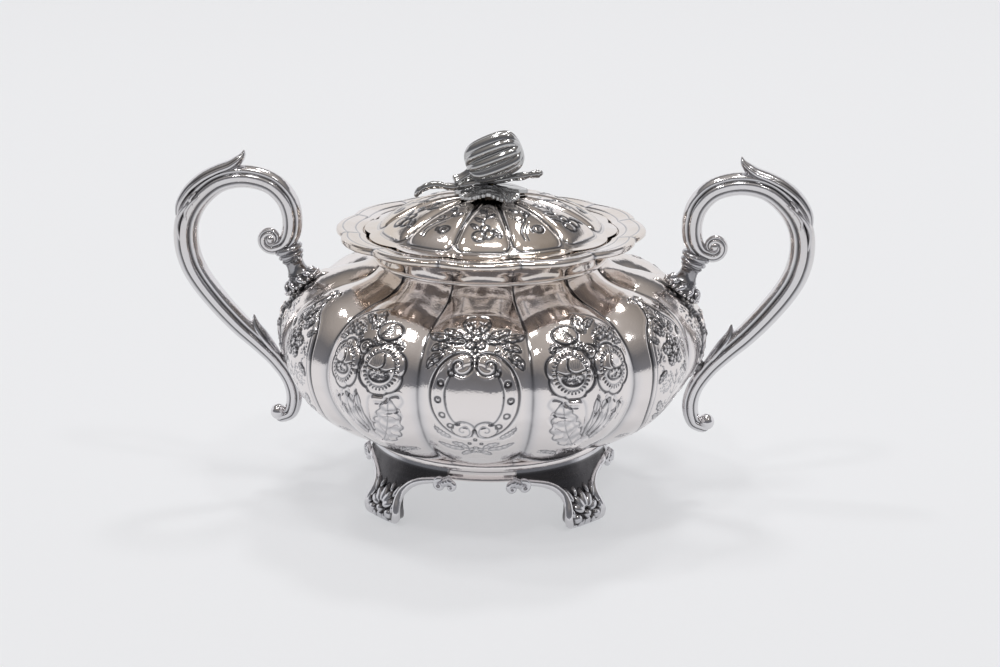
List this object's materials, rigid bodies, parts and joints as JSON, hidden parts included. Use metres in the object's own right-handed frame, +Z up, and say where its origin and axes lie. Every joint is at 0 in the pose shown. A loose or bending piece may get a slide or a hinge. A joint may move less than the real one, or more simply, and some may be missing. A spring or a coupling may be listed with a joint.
{
  "type": "sugar bowl",
  "caption": "Footed two-handled bowl with a lobed belly, a scalloped rim, scrolled handles and a domed lift-off lid with a fruit finial.",
  "frame": {"origin": "centre of the footprint, on the surface that the four feet stand on", "axes": "+X along the line through the two handles, to the right when the front panel faces the viewer; +Y to the back; +Z up"},
  "size_m": [0.241, 0.1604, 0.1398],
  "materials": {
    "raised_silver": "polished silver, lightly tarnished",
    "cast_silver": "polished cast silver with dark recesses",
    "oxidised_silver": "cast silver with heavy oxidation in the recesses",
    "fastener_brass": "turned brass"
  },
  "bodies": {
    "bowl": {"bowl": "raised_silver", "rim_border": "raised_silver", "neck_wire": "raised_silver", "foot_ring": "raised_silver", "foot_front_left": "cast_silver", "foot_front_right": "cast_silver", "foot_back_left": "cast_silver", "foot_back_right": "cast_silver", "handle_left": "cast_silver", "handle_right": "cast_silver", "handle_collar_left": "cast_silver", "handle_collar_right": "cast_silver", "handle_socket_left": "cast_silver", "handle_socket_right": "cast_silver", "handle_pad_left": "cast_silver", "handle_pad_right": "cast_silver"},
    "lid": {"lid": "raised_silver", "lid_bezel": "raised_silver", "finial_melon": "oxidised_silver", "finial_leaf": "oxidised_silver", "finial_twig": "oxidised_silver", "finial_stalk": "oxidised_silver", "finial_stud": "fastener_brass", "finial_washer": "fastener_brass", "finial_nut": "fastener_brass"}
  },
  "joints": [
    {"name": "lid_lift", "type": "slide", "parent": "bowl", "child": "lid", "axis": [0, 0, 1], "range_m": [0, 0.06]}
  ]
}
